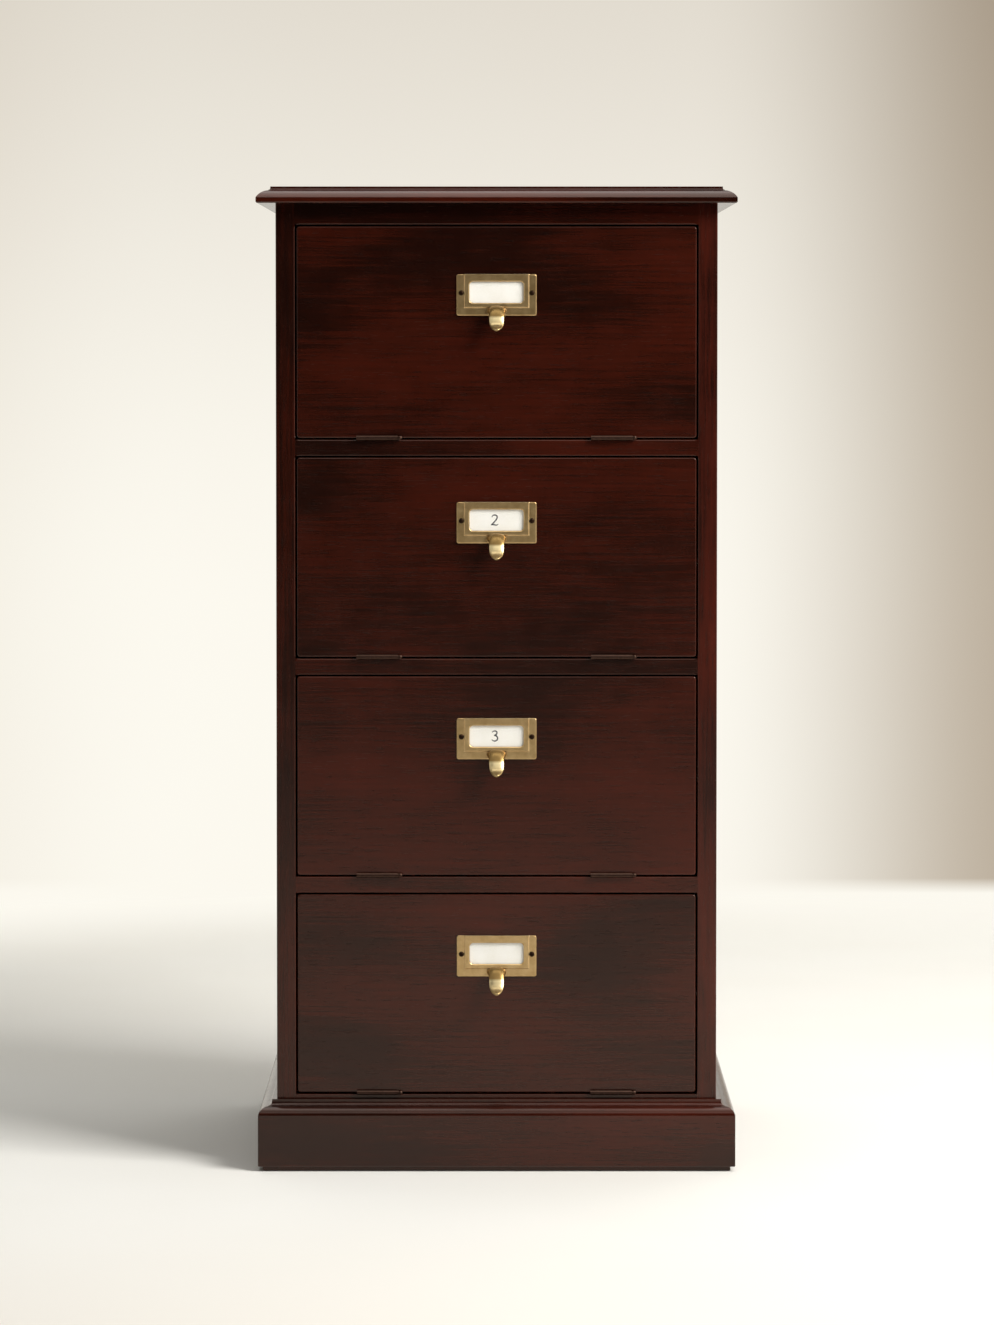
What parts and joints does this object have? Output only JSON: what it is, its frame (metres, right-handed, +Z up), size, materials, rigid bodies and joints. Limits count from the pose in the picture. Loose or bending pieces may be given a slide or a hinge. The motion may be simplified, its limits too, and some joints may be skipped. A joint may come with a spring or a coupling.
{
  "type": "sorting cabinet",
  "caption": "Tall dark mahogany sorting cabinet on a moulded plinth, with stacked drop-front compartments that hinge at the bottom and carry brass card holders with finger pulls.",
  "frame": {"origin": "on the floor, under the middle of the whole cabinet's bounding box", "axes": "+Z up; +X to the right of someone who faces the doors; +Y to the back, so the doors face -Y"},
  "size_m": [0.4962, 0.408, 1.0209],
  "materials": {
    "case_mahogany": "stained, satin lacquer",
    "side_veneer": "stained veneer, satin lacquer",
    "door_mahogany": "stained, satin lacquer",
    "inner_wood": "stained, matt",
    "back_board": "stained ply, matt",
    "antique_brass": "antiqued, half polished",
    "hinge_bronze": "dark bronze plating",
    "bronzed_screws": "dark bronze plating",
    "zinc_steel": "zinc plated",
    "catch_plastic": "moulded, matt",
    "card": "plain white card",
    "glide_plastic": "moulded, matt"
  },
  "bodies": {
    "cabinet": {"top_board": "case_mahogany", "left_side_panel": "side_veneer", "right_side_panel": "side_veneer", "back_panel": "back_board", "left_stile": "case_mahogany", "right_stile": "case_mahogany", "top_rail": "case_mahogany", "rail_1": "case_mahogany", "rail_2": "case_mahogany", "rail_3": "case_mahogany", "bottom_rail": "case_mahogany", "compartment_floor_1": "inner_wood", "compartment_floor_2": "inner_wood", "compartment_floor_3": "inner_wood", "bottom_floor": "inner_wood", "plinth_front": "case_mahogany", "plinth_left": "case_mahogany", "plinth_right": "case_mahogany", "plinth_back": "inner_wood", "plinth_corner_blocks": "inner_wood", "glides": "glide_plastic", "top_cleats": "inner_wood", "carcass_screws": "zinc_steel", "frame_hinge_leaves": "hinge_bronze", "hinge_pins": "hinge_bronze", "hinge_screws": "bronzed_screws", "magnetic_catches": "catch_plastic", "stay_studs": "zinc_steel"},
    "door_body_1": {"door_1": "door_mahogany", "label_holder_1": "antique_brass", "label_card_1": "card", "door_hinge_leaves_1": "hinge_bronze", "door_screws_1": "bronzed_screws", "strike_plate_1": "zinc_steel", "stay_bracket_1": "zinc_steel"},
    "stay_body_1": {"stay_arm_1": "zinc_steel"},
    "door_body_2": {"door_2": "door_mahogany", "label_holder_2": "antique_brass", "label_card_2": "card", "door_hinge_leaves_2": "hinge_bronze", "door_screws_2": "bronzed_screws", "strike_plate_2": "zinc_steel", "stay_bracket_2": "zinc_steel"},
    "stay_body_2": {"stay_arm_2": "zinc_steel"},
    "door_body_3": {"door_3": "door_mahogany", "label_holder_3": "antique_brass", "label_card_3": "card", "door_hinge_leaves_3": "hinge_bronze", "door_screws_3": "bronzed_screws", "strike_plate_3": "zinc_steel", "stay_bracket_3": "zinc_steel"},
    "stay_body_3": {"stay_arm_3": "zinc_steel"},
    "door_body_4": {"door_4": "door_mahogany", "label_holder_4": "antique_brass", "label_card_4": "card", "door_hinge_leaves_4": "hinge_bronze", "door_screws_4": "bronzed_screws", "strike_plate_4": "zinc_steel", "stay_bracket_4": "zinc_steel"},
    "stay_body_4": {"stay_arm_4": "zinc_steel"}
  },
  "joints": [
    {"name": "door_swing_1", "type": "hinge", "parent": "cabinet", "child": "door_body_1", "pos_m": [0, -0.1796, 0.7614], "axis": [1, 0, 0], "range_deg": [0, 90]},
    {"name": "stay_swing_1", "type": "hinge", "parent": "door_body_1", "child": "stay_body_1", "pos_m": [0.2047, -0.1521, 0.8734], "axis": [1, 0, 0], "range_deg": [-45, 0]},
    {"name": "door_swing_2", "type": "hinge", "parent": "cabinet", "child": "door_body_2", "pos_m": [0, -0.1796, 0.5342], "axis": [1, 0, 0], "range_deg": [0, 90]},
    {"name": "stay_swing_2", "type": "hinge", "parent": "door_body_2", "child": "stay_body_2", "pos_m": [0.2047, -0.1521, 0.6462], "axis": [1, 0, 0], "range_deg": [-45, 0]},
    {"name": "door_swing_3", "type": "hinge", "parent": "cabinet", "child": "door_body_3", "pos_m": [0, -0.1796, 0.307], "axis": [1, 0, 0], "range_deg": [0, 90]},
    {"name": "stay_swing_3", "type": "hinge", "parent": "door_body_3", "child": "stay_body_3", "pos_m": [0.2047, -0.1521, 0.419], "axis": [1, 0, 0], "range_deg": [-45, 0]},
    {"name": "door_swing_4", "type": "hinge", "parent": "cabinet", "child": "door_body_4", "pos_m": [0, -0.1796, 0.0798], "axis": [1, 0, 0], "range_deg": [0, 90]},
    {"name": "stay_swing_4", "type": "hinge", "parent": "door_body_4", "child": "stay_body_4", "pos_m": [0.2047, -0.1521, 0.1918], "axis": [1, 0, 0], "range_deg": [-45, 0]}
  ],
  "couplings": [
    {"joint": "stay_swing_1", "follows": "door_swing_1", "ratio": -0.5},
    {"joint": "stay_swing_2", "follows": "door_swing_2", "ratio": -0.5},
    {"joint": "stay_swing_3", "follows": "door_swing_3", "ratio": -0.5},
    {"joint": "stay_swing_4", "follows": "door_swing_4", "ratio": -0.5}
  ]
}
